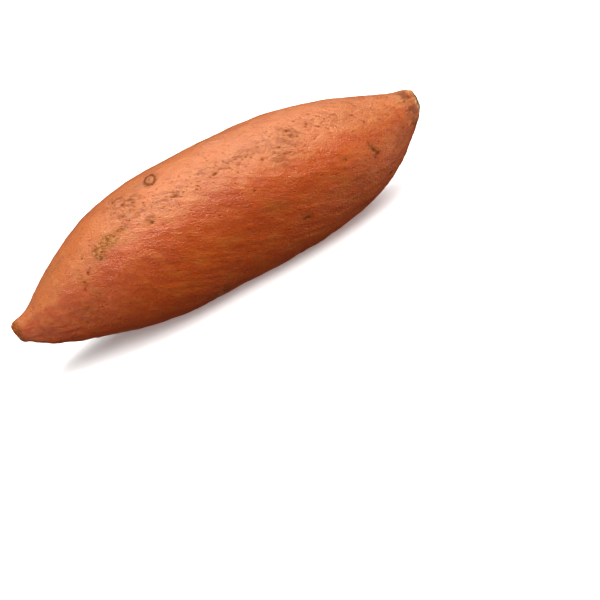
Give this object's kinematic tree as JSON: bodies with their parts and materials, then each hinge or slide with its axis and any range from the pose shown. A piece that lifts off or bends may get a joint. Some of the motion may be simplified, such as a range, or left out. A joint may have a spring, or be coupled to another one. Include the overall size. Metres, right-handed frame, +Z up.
{
  "type": "sweet potato",
  "caption": "Whole raw sweet potato: a spindle-shaped tuber with copper-orange skin, a blunt root tip and a corky stem scar, lying on a small flat spot.",
  "frame": {"origin": "on the surface that the tuber lies on, under the middle of its bounding box", "axes": "+X along the tuber from the root tip to the stem end, +Z up, -Y the side that is seen first"},
  "size_m": [0.2, 0.061, 0.063],
  "materials": {
    "tuber_skin": "satin"
  },
  "bodies": {
    "root": {"sweet_potato": "tuber_skin"}
  },
  "joints": []
}
